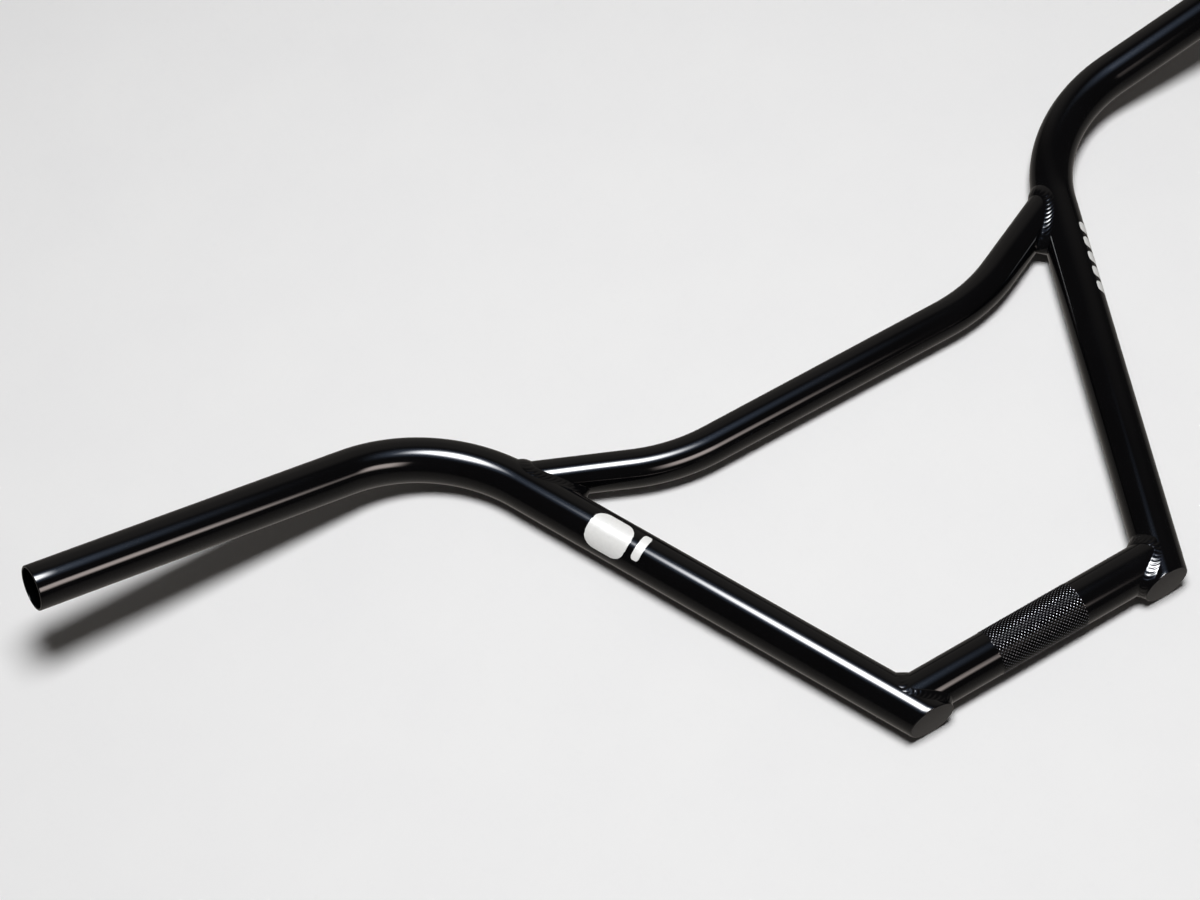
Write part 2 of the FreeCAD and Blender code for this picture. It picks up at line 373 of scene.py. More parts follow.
def piece_from_rings(name, rings, looped=True):
    """Object whose faces join each ring to the next, closed by a loop or by two end faces."""
    mesh = bpy.data.meshes.new(name)
    form = bmesh.new()
    rows = [[form.verts.new(point) for point in one] for one in rings]
    pairs = list(zip(rows, rows[1:]))
    if looped:
        pairs.append((rows[-1], rows[0]))
    else:
        form.faces.new(rows[0])
        form.faces.new(rows[-1])
    count = len(rows[0])
    for here, ahead in pairs:
        for step in range(count):
            following = (step + 1) % count
            form.faces.new((here[step], here[following], ahead[following], ahead[step]))
    bmesh.ops.recalc_face_normals(form, faces=form.faces)
    for face in form.faces:
        face.smooth = True
    form.to_mesh(mesh)
    form.free()
    mesh.set_sharp_from_angle(angle=SHARP_ANGLE)
    made = bpy.data.objects.new(name, mesh)
    bpy.context.scene.collection.objects.link(made)
    return made


def finished(made, material, *nodes):
    """Paint a piece, ride it on the bar and let it stand for its solids."""
    made.data.materials.append(material)
    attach(made, "root")
    if nodes:
        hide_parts(*nodes)


def side_pair(name, rings, looped=True):
    """The left and right objects of a mirrored pair of pieces, by side."""
    return {
        "left": piece_from_rings("left_" + name, mirrored(rings), looped),
        "right": piece_from_rings("right_" + name, rings, looped),
    }


# Materials


def node(tree, kind, inputs=None, **settings):
    """Add one node with its settings, and set or link its inputs."""
    made = tree.nodes.new(kind)
    for key, value in settings.items():
        setattr(made, key, value)
    for key, value in (inputs or {}).items():
        if isinstance(value, bpy.types.NodeSocket):
            tree.links.new(value, made.inputs[key])
        else:
            made.inputs[key].default_value = value
    return made


def new_material(name, surface, *facts):
    """Material whose surface is what one of the functions below builds in its tree."""
    material = bpy.data.materials.new(name)
    material.use_nodes = True
    tree = material.node_tree
    tree.nodes.clear()
    node(tree, "ShaderNodeOutputMaterial", {"Surface": surface(tree, *facts)})
    return material


def shared_material(surface, finish):
    """A material that several pieces share, made once and kept under its function's name."""
    name = surface.__name__
    if name not in bpy.data.materials:
        new_material(name, surface, finish)
    return bpy.data.materials[name]


def mottled(tree, patch_size, first, second, detail):
    """Cloudy noise with patches of a real size, and two colours mixed by it."""
    surface_place = node(tree, "ShaderNodeTexCoord").outputs["Object"]
    cloud = node(tree, "ShaderNodeTexNoise", {
        "Vector": surface_place, "Scale": 1 / patch_size, "Detail": detail})
    tone = node(tree, "ShaderNodeMix", {
        "Factor": cloud.outputs["Fac"], "A": first, "B": second}, data_type="RGBA")
    return cloud.outputs["Fac"], tone.outputs["Result"]


def baked_gloss_paint(tree, finish):
    """Gloss black paint sprayed over steel tube and baked.

    The eye sees near-black with sharp reflections, a slight orange peel that makes
    them waver, and faint cloudy patches where the paint is a little less flat.
    """
    cloud_size = 35 * MM
    clear_roughness = 0.04
    hazy_roughness = 0.12
    peel_size = 3.0 * MM
    peel_height = 0.0022 * MM
    cloud, tone = mottled(tree, cloud_size, finish.paint_dark, finish.paint_light, detail=3.0)
    haze = node(tree, "ShaderNodeMapRange", {
        "Value": cloud, "To Min": clear_roughness, "To Max": hazy_roughness})
    surface_place = node(tree, "ShaderNodeTexCoord").outputs["Object"]
    peel = node(tree, "ShaderNodeTexNoise", {
        "Vector": surface_place, "Scale": 1 / peel_size, "Detail": 1.0})
    bump = node(tree, "ShaderNodeBump", {
        "Height": peel.outputs["Fac"], "Strength": 1.0, "Distance": peel_height})
    return node(tree, "ShaderNodeBsdfPrincipled", {
        "Base Color": tone,
        "Roughness": haze.outputs["Result"],
        "IOR": 1.5,
        "Normal": bump.outputs["Normal"],
    }).outputs["BSDF"]


def satin_paint_and_painted_reflection(tree, finish):
    """The same paint over a sawn and ground plate, which leaves it flatter, in a lighter grey that
    is partly a painted reflection of the floor, which the gloss doesn't show.

    The eye sees an even dark grey with a soft, slightly mottled sheen.
    """
    grain_size = 4.0 * MM
    _, tone = mottled(tree, grain_size, finish.satin_and_reflection_dark, finish.satin_and_reflection_light, detail=3.0)
    return node(tree, "ShaderNodeBsdfPrincipled", {
        "Base Color": tone,
        "Roughness": 0.4,
        "IOR": 1.5,
    }).outputs["BSDF"]


def knurled_paint_and_painted_glints(tree, finish):
    """The same paint over diamond knurl, dull in the grooves, with a painted highlight on the crests.

    The eye sees a dark grip of fine dots: the crests are painted lighter and part metallic, to stand in
    for the glints of the gloss paint between black grooves.
    """
    sizes = bpy.context.scene.handlebar_sizes
    crest_start = 0.56
    glint_metal_share = 0.75
    surface_place = node(tree, "ShaderNodeTexCoord").outputs["Object"]
    axes = node(tree, "ShaderNodeSeparateXYZ", {"Vector": surface_place})
    along = node(tree, "ShaderNodeMath", {
        0: axes.outputs["X"], 1: 2 * math.pi / sizes.knurl_pitch}, operation="MULTIPLY")
    turn = node(tree, "ShaderNodeMath", {
        0: axes.outputs["Y"], 1: axes.outputs["Z"]}, operation="ARCTAN2")
    around = node(tree, "ShaderNodeMath", {
        0: turn.outputs["Value"], 1: float(sizes.knurl_count)}, operation="MULTIPLY")
    waves = [node(tree, "ShaderNodeMath", {0: way.outputs["Value"]}, operation="COSINE")
             for way in (along, around)]
    height = node(tree, "ShaderNodeMath", {
        0: waves[0].outputs["Value"], 1: waves[1].outputs["Value"]}, operation="MULTIPLY")
    crest_glint_mask = node(tree, "ShaderNodeMapRange", {
        "Value": height.outputs["Value"], "From Min": crest_start, "From Max": 1.0})
    tone = node(tree, "ShaderNodeMix", {
        "Factor": crest_glint_mask.outputs["Result"],
        "A": finish.paint_dark,
        "B": finish.crest_glint_grey,
    }, data_type="RGBA")
    # Painted highlight: part-metallic crests stand in for the glints of the gloss paint
    crest_glint_metal = node(tree, "ShaderNodeMath", {
        0: crest_glint_mask.outputs["Result"], 1: glint_metal_share}, operation="MULTIPLY")
    return node(tree, "ShaderNodeBsdfPrincipled", {
        "Base Color": tone.outputs["Result"],
        "Metallic": crest_glint_metal.outputs["Value"],
        "Roughness": 0.2,
        "IOR": 1.5,
        "Specular IOR Level": 0.1,
    }).outputs["BSDF"]


def white_vinyl(tree, finish):
    """White vinyl film, cut and stuck on, under the gloss.

    The eye sees clean white with a soft shine and a trace of uneven ink.
    """
    ink_size = 1.5 * MM
    _, tone = mottled(tree, ink_size, finish.mark_white, finish.mark_shade, detail=2.0)
    return node(tree, "ShaderNodeBsdfPrincipled", {
        "Base Color": tone,
        "Roughness": 0.35,
        "IOR": 1.5,
        "Coat Weight": 0.6,
        "Coat Roughness": 0.05,
    }).outputs["BSDF"]


def studio_paper(tree, finish):
    """Matt pale paper from a roll, a little cloudy from its pulp.

    The eye sees a light grey that keeps the bar's shadows, and an even grey beyond the lamp's reach.
    """
    cloud_size = 60 * MM
    lit_reach = 0.58
    far_reach = 1.0
    _, tone = mottled(tree, cloud_size, finish.paper_light, finish.paper_dark, detail=6.0)
    paper = node(tree, "ShaderNodeBsdfPrincipled", {
        "Base Color": tone,
        "Roughness": 0.9,
        "Specular IOR Level": 0.1,
    })
    surface_place = node(tree, "ShaderNodeTexCoord").outputs["Object"]
    away = node(tree, "ShaderNodeVectorMath", {0: surface_place}, operation="LENGTH")
    far = node(tree, "ShaderNodeMapRange", {
        "Value": away.outputs["Value"], "From Min": lit_reach, "From Max": far_reach,
    }, interpolation_type="SMOOTHSTEP")
    ray = node(tree, "ShaderNodeLightPath")
    seen = ray.outputs["Is Camera Ray"]
    for kind in ("Is Glossy Ray", "Is Transmission Ray"):
        seen = node(tree, "ShaderNodeMath", {
            0: seen, 1: ray.outputs[kind]}, operation="MAXIMUM").outputs["Value"]
    share = node(tree, "ShaderNodeMath", {0: far.outputs["Result"], 1: seen}, operation="MULTIPLY")
    backdrop = node(tree, "ShaderNodeEmission", {"Color": finish.backdrop})
    return node(tree, "ShaderNodeMixShader", {
        0: share.outputs["Value"],
        1: paper.outputs["BSDF"],
        2: backdrop.outputs["Emission"],
    }).outputs["Shader"]


def softbox_cloth(tree, tint, strength, size, fade):
    """White diffuser cloth lit from behind, brightest in the middle and fading at its edges."""
    surface_place = node(tree, "ShaderNodeTexCoord").outputs["Object"]
    axes = node(tree, "ShaderNodeSeparateXYZ", {"Vector": surface_place})
    fades = []
    for axis, side in zip("XY", size):
        away = node(tree, "ShaderNodeMath", {0: axes.outputs[axis]}, operation="ABSOLUTE")
        fades.append(node(tree, "ShaderNodeMapRange", {
            "Value": away.outputs["Value"],
            "From Min": side / 2 * (1 - fade),
            "From Max": side / 2,
            "To Min": 1.0,
            "To Max": 0.0,
        }, interpolation_type="SMOOTHSTEP"))
    shape = node(tree, "ShaderNodeMath", {
        0: fades[0].outputs["Result"], 1: fades[1].outputs["Result"]}, operation="MULTIPLY")
    glow = node(tree, "ShaderNodeMath", {0: shape.outputs["Value"], 1: strength}, operation="MULTIPLY")
    light = node(tree, "ShaderNodeEmission", {"Color": tint, "Strength": glow.outputs["Value"]})
    clear = node(tree, "ShaderNodeBsdfTransparent")
    return node(tree, "ShaderNodeAddShader", {
        0: light.outputs["Emission"], 1: clear.outputs["BSDF"]}).outputs["Shader"]


# Pieces


class HANDLEBAR_OT_side_tubes(bpy.types.Operator):
    """Leg, bend and open grip of each side, from one length of tube"""

    bl_idname = "handlebar.side_tubes"
    bl_label = "Side Tubes"

    def execute(self, context):
        sizes = context.scene.handlebar_sizes
        axes = BarAxes(sizes)
        paint = shared_material(baked_gloss_paint, context.scene.handlebar_finish)
        for side, made in side_pair("side_tube_skin", self.rings(axes, sizes)).items():
            finished(made, paint, side + "_side_tube")
        return {"FINISHED"}

    @staticmethod
    def rings(axes, sizes):
        """Outer wall, rounded rim and inner wall, from the cap to the grip's end and back."""
        leg_start = axes.foot + axes.leg * (axes.cap_top / axes.leg.y)
        clear_of_cut = leg_start + axes.leg * TUBE_RADIUS
        stations = bent_stations([clear_of_cut, axes.corner, axes.grip_end], axes.bend_radius)
        cut = [sliced(ring((leg_start, axes.leg), axes.bend_axis, radius), axes.leg, axes.cap_top)
               for radius in (TUBE_RADIUS, BORE_RADIUS)]
        outer = [ring(station, axes.bend_axis, TUBE_RADIUS) for station in stations[:-1]]
        inner = [ring(station, axes.bend_axis, BORE_RADIUS) for station in stations[:-1]]
        turns = [math.pi / 2 * step / RIM_STEPS for step in range(RIM_STEPS + 1)]
        rim = []
        for turn in turns:
            back = sizes.edge_round * (1 - math.sin(turn))
            radius = TUBE_RADIUS - sizes.edge_round * (1 - math.cos(turn))
            rim.append(ring((axes.grip_end - GRIP_DIRECTION * back, GRIP_DIRECTION), axes.bend_axis, radius))
        for turn in turns:
            back = sizes.bore_round * (1 - math.cos(turn))
            radius = BORE_RADIUS + sizes.bore_round * (1 - math.sin(turn))
            rim.append(ring((axes.grip_end - GRIP_DIRECTION * back, GRIP_DIRECTION), axes.bend_axis, radius))
        return [cut[0]] + outer + rim + inner[::-1] + [cut[1]]


def sliced(points, heading, height):
    """Points moved along a heading onto a plane at one height along the rise."""
    return [point + heading * ((height - point.y) / heading.y) for point in points]


class HANDLEBAR_OT_leg_caps(bpy.types.Operator):
    """Plate that closes each leg, ground flush with its wall"""

    bl_idname = "handlebar.leg_caps"
    bl_label = "Leg Caps"

    def execute(self, context):
        sizes = context.scene.handlebar_sizes
        axes = BarAxes(sizes)
        edge_paint = shared_material(baked_gloss_paint, context.scene.handlebar_finish)
        # The caps' faces carry a lighter grey that is partly a painted reflection of the floor
        cap_face_paint_and_reflection = shared_material(satin_paint_and_painted_reflection, context.scene.handlebar_finish)
        for side, made in side_pair("leg_cap_plate", self.rings(axes, sizes), looped=False).items():
            finished(made, edge_paint, side + "_leg_cap")
            made.data.materials.append(cap_face_paint_and_reflection)
            for face in made.data.polygons:
                if len(face.vertices) == TUBE_SEGMENTS:
                    face.material_index = 1
        return {"FINISHED"}

    @staticmethod
    def rings(axes, sizes):
        """Slices of the leg's outline, with a rounded lower edge."""
        outline = ring((axes.foot, axes.leg), axes.bend_axis, TUBE_RADIUS)
        rings = [sliced(outline, axes.leg, axes.cap_top)]
        for step in range(RIM_STEPS + 1):
            turn = math.pi / 2 * step / RIM_STEPS
            height = axes.cap_face + sizes.edge_round * (1 - math.sin(turn))
            shrink = 1 - sizes.edge_round * (1 - math.cos(turn)) / TUBE_RADIUS
            middle = axes.foot + axes.leg * (height / axes.leg.y)
            slice_points = sliced(outline, axes.leg, height)
            rings.append([middle + (point - middle) * shrink for point in slice_points])
        return rings


class HANDLEBAR_OT_clamp_tube(bpy.types.Operator):
    """Straight tube between the legs, with a band of diamond knurl for the stem"""

    bl_idname = "handlebar.clamp_tube"
    bl_label = "Clamp Tube"

    def execute(self, context):
        sizes = context.scene.handlebar_sizes
        paint = shared_material(baked_gloss_paint, context.scene.handlebar_finish)
        made = piece_from_rings("clamp_tube_skin", self.rings(BarAxes(sizes), sizes))
        finished(made, paint, "clamp_tube")
        made.data.materials.append(shared_material(knurled_paint_and_painted_glints, context.scene.handlebar_finish))
        for face in made.data.polygons:
            middle = face.center
            outside = math.hypot(middle.y, middle.z) > TUBE_RADIUS - sizes.knurl_depth
            if outside and abs(middle.x) < BAND_LENGTH / 2:
                face.material_index = 1
        return {"FINISHED"}

    def rings(self, axes, sizes):
        """Plain wall, knurled band and plain wall, then the bore back."""
        segments = sizes.knurl_count * KNURL_STEPS
        half_band = BAND_LENGTH / 2
        rise = BAND_RADIUS - TUBE_RADIUS
        plain_end = axes.foot.x - CLEAR_OF_COPE
        bore = TUBE_RADIUS - sizes.clamp_wall
        left_end, right_end = coped_ends(axes, TUBE_RADIUS, segments)
        left_bore, right_bore = coped_ends(axes, bore, segments)
        rings = [left_end]
        for x in (-plain_end, -half_band - 2 * rise, -half_band - rise):
            rings.append(ring((X_AXIS * x, X_AXIS), Z_AXIS, TUBE_RADIUS, segments))
        steps = round(BAND_LENGTH / sizes.knurl_pitch) * KNURL_STEPS
        for step in range(steps + 1):
            x = BAND_LENGTH * step / steps - half_band
            rings.append(self.knurl_ring(x, step, segments, sizes))
        for x in (half_band + rise, half_band + 2 * rise, plain_end):
            rings.append(ring((X_AXIS * x, X_AXIS), Z_AXIS, TUBE_RADIUS, segments))
        rings += [right_end, right_bore]
        for x in (plain_end, -plain_end):
            rings.append(ring((X_AXIS * x, X_AXIS), Z_AXIS, bore, segments))
        rings.append(left_bore)
        return rings

    @staticmethod
    def knurl_ring(x, step, segments, sizes):
        """One ring through the crests and grooves of the crossing cuts."""
        along = step / KNURL_STEPS
        points = []
        for index, spoke in enumerate(spokes(X_AXIS, Z_AXIS, segments)):
            around = index / KNURL_STEPS
            away = [abs(cut - round(cut)) for cut in (along + around, along - around)]
            depth = sizes.knurl_depth * 2 * max(away)
            points.append(X_AXIS * x + spoke * (BAND_RADIUS - depth))
        return points


def coped_ends(axes, radius, segments):
    """Left and right end rings of one wall of the clamp tube, fitted to the legs."""
    starts = [axes.foot + spoke * radius for spoke in spokes(X_AXIS, Z_AXIS, segments)]
    right = [axes.root(start, -X_AXIS) for start in starts]
    left = [point * MIRROR for point in right]
    return left, right


class HANDLEBAR_OT_crossbar(bpy.types.Operator):
    """Twice-bent tube across the legs, its ends fitted to the side tubes"""

    bl_idname = "handlebar.crossbar"
    bl_label = "Crossbar"

    def execute(self, context):
        sizes = context.scene.handlebar_sizes
        axes = BarAxes(sizes)
        paint = shared_material(baked_gloss_paint, context.scene.handlebar_finish)
        radius = sizes.crossbar_diameter / 2
        outer = self.wall(axes, sizes, radius)
        inner = self.wall(axes, sizes, radius - sizes.crossbar_wall)
        made = piece_from_rings("crossbar_skin", outer + inner[::-1])
        finished(made, paint, "crossbar")
        return {"FINISHED"}

    @staticmethod
    def wall(axes, sizes, radius):
        """Rings of one wall, from the left side tube to the right one."""
        clear = axes.knee.lerp(axes.crossbar_end, 0.5)
        corners = [clear * MIRROR, axes.knee * MIRROR, axes.knee, clear]
        stations = bent_stations(corners, sizes.crossbar_bend_radius)
        heading = axes.crossbar_heading
        right = [axes.root(axes.crossbar_end + spoke * radius, -heading)
                 for spoke in spokes(heading, Z_AXIS, TUBE_SEGMENTS)]
        left = [point * MIRROR for point in right]
        return [left] + [ring(station, Z_AXIS, radius) for station in stations] + [right]


# Weld beads


class WeldPath:
    """The line around a branch tube's end, where it meets the right side tube."""

    def __init__(self, axes, joint, heading, radius):
        self.axes = axes
        self.joint = joint
        self.heading = heading
        self.radius = radius
        self.across = heading.cross(Z_AXIS).normalized()
        self.turns = [2 * math.pi * step / WELD_TABLE_STEPS for step in range(WELD_TABLE_STEPS + 1)]
        roots = [self.root(turn) for turn in self.turns]
        self.reached = [0.0]
        for here, ahead in zip(roots, roots[1:]):
            self.reached.append(self.reached[-1] + (ahead - here).length)
        self.length = self.reached[-1]

    def spread(self, turn):
        """Direction out of the branch tube's axis at one turn around it."""
        return self.across * math.cos(turn) + self.heading.cross(self.across) * math.sin(turn)

    def root(self, turn):
        """Corner point between the two tubes at one turn around the branch."""
        return self.axes.root(self.joint + self.spread(turn) * self.radius, self.heading)

    def at_branch(self, point, radius):
        """The point moved straight out or in, to a radius about the branch tube's axis."""
        middle = self.joint + self.heading * (point - self.joint).dot(self.heading)
        return middle + (point - middle).normalized() * radius

    def turn_at(self, distance):
        """Turn around the branch after a distance along the joint."""
        step = 1
        while step < WELD_TABLE_STEPS and self.reached[step] < distance:
            step += 1
        share = (distance - self.reached[step - 1]) / (self.reached[step] - self.reached[step - 1])
        return self.turns[step - 1] + share * (self.turns[step] - self.turns[step - 1])


def weld_face(path, distance, width, knuckle, sizes):
    """Smooth face of a bead at one distance along its path, from the branch to the side tube."""
    axes = path.axes
    turn = path.turn_at(distance)
    nudge = 2 * math.pi / WELD_TABLE_STEPS
    root = path.root(turn)
    run = path.root(turn + nudge) - path.root(turn - nudge)
    side_normal = (root - axes.nearest(root)).normalized()
    along_side = run.cross(side_normal).normalized()
    opening = along_side.angle(path.heading)
    reach = width / 2 / math.sin(opening / 2)
    if along_side.y < 0:
        reach = min(reach, (root.y - axes.cap_face - sizes.edge_round) / -along_side.y)
    branch_toe = root + path.heading * reach
    side_toe = axes.at_radius(root + along_side * reach, TUBE_RADIUS)
    outwards = (side_normal + path.spread(turn)).normalized()
    crown = sizes.weld_crown - sizes.weld_hollow * math.sin(opening)
    crown += knuckle * max(0.0, -math.cos(opening))
    points = []
    for step in range(WELD_FACE_STEPS + 1):
        share = step / WELD_FACE_STEPS
        points.append(branch_toe.lerp(side_toe, share) + outwards * (crown * 4 * share * (1 - share)))
    return points


def rounded_off(faces, span):
    """Each face averaged with those beside it along the bead."""
    count = len(faces)
    smooth = []
    for step in range(count):
        beside = [faces[(step + shift) % count] for shift in range(-span, span + 1)]
        smooth.append([sum(column, Vector()) / len(beside) for column in zip(*beside)])
    return smooth


def rippled(path, face, ahead, distance, pitch, sizes):
    """Closed section of a bead: its face with a ripple on it, toes sunk in, and its underside."""
    axes = path.axes
    points = []
    for step, point in enumerate(face):
        share = step / WELD_FACE_STEPS
        arch = 4 * share * (1 - share)
        across = face[min(step + 1, WELD_FACE_STEPS)] - face[max(step - 1, 0)]
        outwards = across.cross(ahead[step] - point).normalized()
        if outwards.dot(point - axes.nearest(point)) < 0:
            outwards = -outwards
        phase = (distance + sizes.ripple_bow * arch) / pitch
        points.append(point + outwards * (sizes.ripple_height * abs(math.sin(math.pi * phase)) * arch))
    points[0] = path.at_branch(points[0], path.radius - sizes.fit_up_gap - sizes.weld_toe_sink)
    points[-1] = axes.at_radius(points[-1], TUBE_RADIUS - sizes.weld_toe_sink)
    under = axes.at_radius((points[0] + points[-1]) / 2, TUBE_RADIUS - sizes.weld_toe_sink)
    return points + [under]


def weld_rings(path, width, knuckle, sizes):
    """Sections all along a bead, with a whole number of ripples."""
    ripples = round(path.length / sizes.ripple_pitch)
    pitch = path.length / ripples
    count = ripples * RIPPLE_STEPS
    distances = [path.length * step / count for step in range(count)]
    faces = [weld_face(path, distance, width, knuckle, sizes) for distance in distances]
    faces = rounded_off(faces, round(sizes.weld_flow / 2 / path.length * count))
    return [rippled(path, face, faces[(step + 1) % count], distances[step], pitch, sizes)
            for step, face in enumerate(faces)]


class HANDLEBAR_OT_welds(bpy.types.Operator):
    """Rippled beads around both ends of the clamp tube and the crossbar"""

    bl_idname = "handlebar.welds"
    bl_label = "Weld Beads"

    def execute(self, context):
        sizes = context.scene.handlebar_sizes
        axes = BarAxes(sizes)
        paint = shared_material(baked_gloss_paint, context.scene.handlebar_finish)
        clamp = WeldPath(axes, axes.foot, -X_AXIS, TUBE_RADIUS + sizes.fit_up_gap)
        crossbar = WeldPath(axes, axes.crossbar_end, -axes.crossbar_heading,
                            sizes.crossbar_diameter / 2 + sizes.fit_up_gap)
        beads = {
            "clamp_weld": weld_rings(clamp, sizes.clamp_weld_width, 0.0, sizes),
            "crossbar_weld": weld_rings(
                crossbar, sizes.crossbar_weld_width, sizes.crossbar_weld_knuckle, sizes),
        }
        for name, rings in beads.items():
            for side, made in side_pair(name + "_bead", rings).items():
                finished(made, paint, side + "_" + name)
        return {"FINISHED"}


# Marks


def leg_patch(axes, sizes, patch):
    """Film with rounded corners on the right leg."""
    low, high, first, last = patch
    steps_along = max(2, math.ceil((high - low) / MARK_STEP))
    steps_around = max(2, math.ceil((last - first) * TUBE_RADIUS / MARK_STEP))
    other = Z_AXIS.cross(axes.leg)
    corner = min(high - low, (last - first) * TUBE_RADIUS) * MARK_CORNER_SHARE
    layers = []
    for lift in (sizes.mark_thickness, 0.0):
        rows = []
        for row in range(steps_along + 1):
            along = low + (high - low) * row / steps_along
            into = max(0.0, corner - min(along - low, high - along))
            inset = (corner - math.sqrt(corner ** 2 - into ** 2)) / TUBE_RADIUS
            points = []
            for column in range(steps_around + 1):
                turn = first + inset + (last - first - 2 * inset) * column / steps_around
                spoke = other * -math.cos(turn) + Z_AXIS * math.sin(turn)
                points.append(axes.foot + axes.leg * along + spoke * (TUBE_RADIUS + lift))
            rows.append(points)
        layers.append(rows)
    return [upper + lower[::-1] for upper, lower in zip(*layers)]


class HANDLEBAR_OT_marks(bpy.types.Operator):
    """Plain white bars on the left leg and plain white dashes on the right leg"""

    bl_idname = "handlebar.marks"
    bl_label = "White Marks"

    def execute(self, context):
        sizes = context.scene.handlebar_sizes
        axes = BarAxes(sizes)
        vinyl = shared_material(white_vinyl, context.scene.handlebar_finish)
        for name, patch in LEFT_BARS.items():
            rings = mirrored(leg_patch(axes, sizes, patch))
            finished(piece_from_rings("left_leg_bar_" + name, rings, looped=False), vinyl)
        for count in range(DASH_COUNT):
            low = DASH_START + DASH_PITCH * count
            patch = Patch(low, low + DASH_LENGTH, DASH_FIRST_TURN, DASH_LAST_TURN)
            rings = leg_patch(axes, sizes, patch)
            finished(piece_from_rings("right_leg_dash_" + str(count + 1), rings, looped=False), vinyl)
        return {"FINISHED"}


# Studio


def flat_sheet(name, size, material):
    """Rectangle in its own level plane."""
    across = size[0] / 2
    up = size[1] / 2
    mesh = bpy.data.meshes.new(name)
    corners = [(-across, -up, 0), (across, -up, 0), (across, up, 0), (-across, up, 0)]
    mesh.from_pydata(corners, [], [(0, 1, 2, 3)])
    mesh.materials.append(material)
    made = bpy.data.objects.new(name, mesh)
    bpy.context.scene.collection.objects.link(made)
    return made


def softbox(name, middle, size, aim, cloth):
    """Flat softbox that faces a point, and shows only where gloss reflects it."""
    made = flat_sheet(name, size, cloth)
    turn = (middle - aim).to_track_quat("Z", "Y").to_matrix().to_4x4()
    made.matrix_world = Matrix.Translation(middle) @ turn
    made.visible_camera = False
    made.visible_diffuse = False
    made.visible_shadow = False


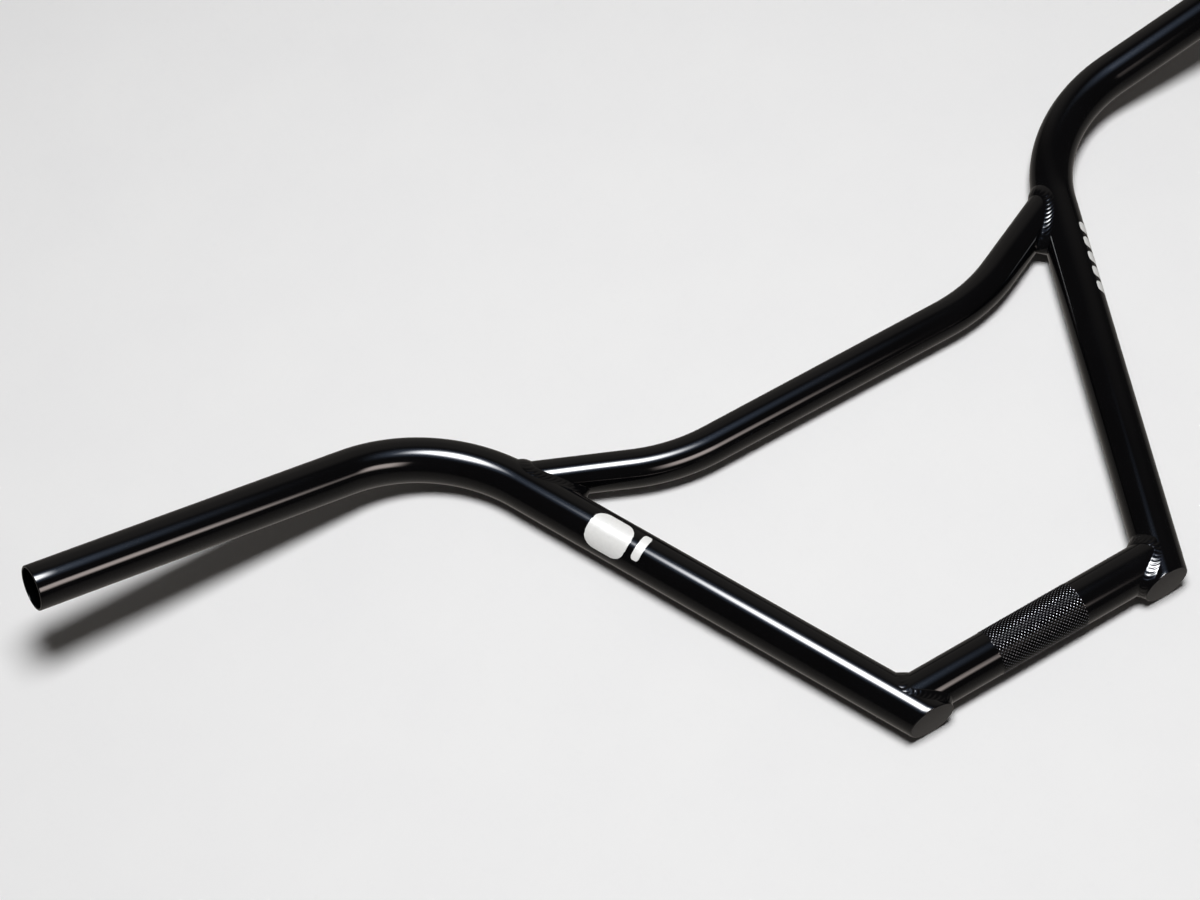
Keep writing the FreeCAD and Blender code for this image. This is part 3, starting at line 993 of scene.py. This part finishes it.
class HANDLEBAR_OT_studio(bpy.types.Operator):
    """Paper floor, lamp, softboxes, dim room and camera"""

    bl_idname = "handlebar.studio"
    bl_label = "Studio"

    def execute(self, context):
        scene = context.scene
        finish = scene.handlebar_finish
        studio = scene.handlebar_studio
        self.floor(finish)
        self.lamp(scene, studio)
        self.softboxes(finish, studio)
        self.room(scene, finish, studio)
        self.camera(scene, studio)
        scene.view_settings.view_transform = "Standard"
        return {"FINISHED"}

    @staticmethod
    def floor(finish):
        """Wide sheet of paper that the bar lies on. In the gloss, the room's ground stands for it."""
        made = flat_sheet("paper_floor", FLOOR_SIZE, shared_material(studio_paper, finish))
        made.location.z = FLOOR_HEIGHT
        made.visible_glossy = False

    @staticmethod
    def lamp(scene, studio):
        """Soft light from overhead. In the gloss, the softboxes stand for it."""
        data = bpy.data.lights.new("overhead_lamp", "AREA")
        data.shape = "ELLIPSE"
        data.size, data.size_y = studio.lamp_size
        data.energy = studio.lamp_power
        made = bpy.data.objects.new("overhead_lamp", data)
        made.location = studio.lamp_place
        made.visible_glossy = False
        scene.collection.objects.link(made)

    @staticmethod
    def softboxes(finish, studio):
        """Overhead box with a cool glow around it, and a warmer one in front."""
        key = Vector(studio.key_place)
        below = Vector((key.x, key.y, 0))
        cloth = new_material("Key Softbox", softbox_cloth, finish.key_white,
                             studio.key_strength, studio.key_size, studio.key_fade)
        softbox("key_softbox", key, studio.key_size, below, cloth)
        cloth = new_material("Key Skirt", softbox_cloth, finish.skirt_blue,
                             studio.skirt_strength, studio.skirt_size, studio.key_fade)
        softbox("key_skirt", key + Z_AXIS * studio.skirt_lift, studio.skirt_size, below, cloth)
        front = Vector(studio.front_place)
        cloth = new_material("Front Softbox", softbox_cloth, finish.front_warm,
                             studio.front_strength, studio.front_size, studio.front_fade)
        softbox("front_softbox", front, studio.front_size, front + Y_AXIS, cloth)

    @staticmethod
    def room(scene, finish, studio):
        """Dark room with one pale wall, over a ground that is palest straight below."""
        world = bpy.data.worlds.new("dark_room")
        world.use_nodes = True
        tree = world.node_tree
        tree.nodes.clear()
        way = node(tree, "ShaderNodeTexCoord").outputs["Generated"]
        facing = node(tree, "ShaderNodeVectorMath", {
            0: way, 1: studio.wall_direction}, operation="DOT_PRODUCT")
        walls = node(tree, "ShaderNodeMapRange", {
            "Value": facing.outputs["Value"], "From Min": WALL_EDGE, "From Max": WALL_MIDDLE,
            "To Min": studio.room_dark, "To Max": studio.wall_strength,
        }, interpolation_type="SMOOTHSTEP")
        axes = node(tree, "ShaderNodeSeparateXYZ", {"Vector": way})
        ground = node(tree, "ShaderNodeMapRange", {
            "Value": axes.outputs["Z"], "From Min": GROUND_BELOW, "From Max": GROUND_AWAY,
            "To Min": studio.ground_near, "To Max": studio.ground_far})
        strength = node(tree, "ShaderNodeMapRange", {
            "Value": axes.outputs["Z"], "From Min": GROUND_AWAY, "From Max": GROUND_END,
            "To Min": ground.outputs["Result"], "To Max": walls.outputs["Result"],
        }, interpolation_type="SMOOTHSTEP")
        light = node(tree, "ShaderNodeBackground", {
            "Color": finish.room_tint, "Strength": strength.outputs["Result"]})
        node(tree, "ShaderNodeOutputWorld", {"Surface": light.outputs["Background"]})
        scene.world = world

    @staticmethod
    def camera(scene, studio):
        """Long lens from above and to the rider's left, as in the photograph."""
        data = bpy.data.cameras.new("studio_camera")
        data.sensor_fit = "HORIZONTAL"
        data.sensor_width = SENSOR_WIDTH
        data.lens = studio.camera_lens
        made = bpy.data.objects.new("studio_camera", data)
        scene.collection.objects.link(made)
        azimuth = studio.camera_azimuth
        elevation = studio.camera_elevation
        roll = studio.camera_roll
        back = Vector((math.sin(azimuth) * math.cos(elevation),
                       -math.cos(azimuth) * math.cos(elevation), math.sin(elevation)))
        across = Vector((math.cos(azimuth), math.sin(azimuth), 0))
        upright = back.cross(across)
        right = across * math.cos(roll) + upright * math.sin(roll)
        up = upright * math.cos(roll) - across * math.sin(roll)
        turn = Matrix((right, up, back)).transposed().to_4x4()
        made.matrix_world = Matrix.Translation(Vector(studio.camera_place)) @ turn
        scene.camera = made


class HANDLEBAR_PT_panel(bpy.types.Panel):
    """Lists the handlebar's build steps, sizes, colours and studio settings"""

    bl_idname = "HANDLEBAR_PT_panel"
    bl_label = "Welded Handlebar"
    bl_space_type = "VIEW_3D"
    bl_region_type = "UI"
    bl_category = "Handlebar"

    def draw(self, context):
        for step in BUILD_STEPS:
            self.layout.operator(step.bl_idname, text=step.bl_label)
        for group_name, group in GROUPS.items():
            box = self.layout.box()
            for name in group.__annotations__:
                box.prop(getattr(context.scene, group_name), name)


BUILD_STEPS = (
    HANDLEBAR_OT_side_tubes,
    HANDLEBAR_OT_leg_caps,
    HANDLEBAR_OT_clamp_tube,
    HANDLEBAR_OT_crossbar,
    HANDLEBAR_OT_welds,
    HANDLEBAR_OT_marks,
    HANDLEBAR_OT_studio,
)
GROUPS = {
    "handlebar_sizes": HandlebarSizes,
    "handlebar_finish": HandlebarFinish,
    "handlebar_studio": StudioSettings,
}


def register():
    for group in GROUPS.values():
        bpy.utils.register_class(group)
    for step in BUILD_STEPS:
        bpy.utils.register_class(step)
    bpy.utils.register_class(HANDLEBAR_PT_panel)
    for name, group in GROUPS.items():
        setattr(bpy.types.Scene, name, PointerProperty(type=group))


def unregister():
    for name in GROUPS:
        delattr(bpy.types.Scene, name)
    bpy.utils.unregister_class(HANDLEBAR_PT_panel)
    for step in reversed(BUILD_STEPS):
        bpy.utils.unregister_class(step)
    for group in GROUPS.values():
        bpy.utils.unregister_class(group)


def main():
    register()
    bpy.ops.handlebar.side_tubes()
    bpy.ops.handlebar.leg_caps()
    bpy.ops.handlebar.clamp_tube()
    bpy.ops.handlebar.crossbar()
    bpy.ops.handlebar.welds()
    bpy.ops.handlebar.marks()
    bpy.ops.handlebar.studio()


if __name__ == "__main__":
    main()
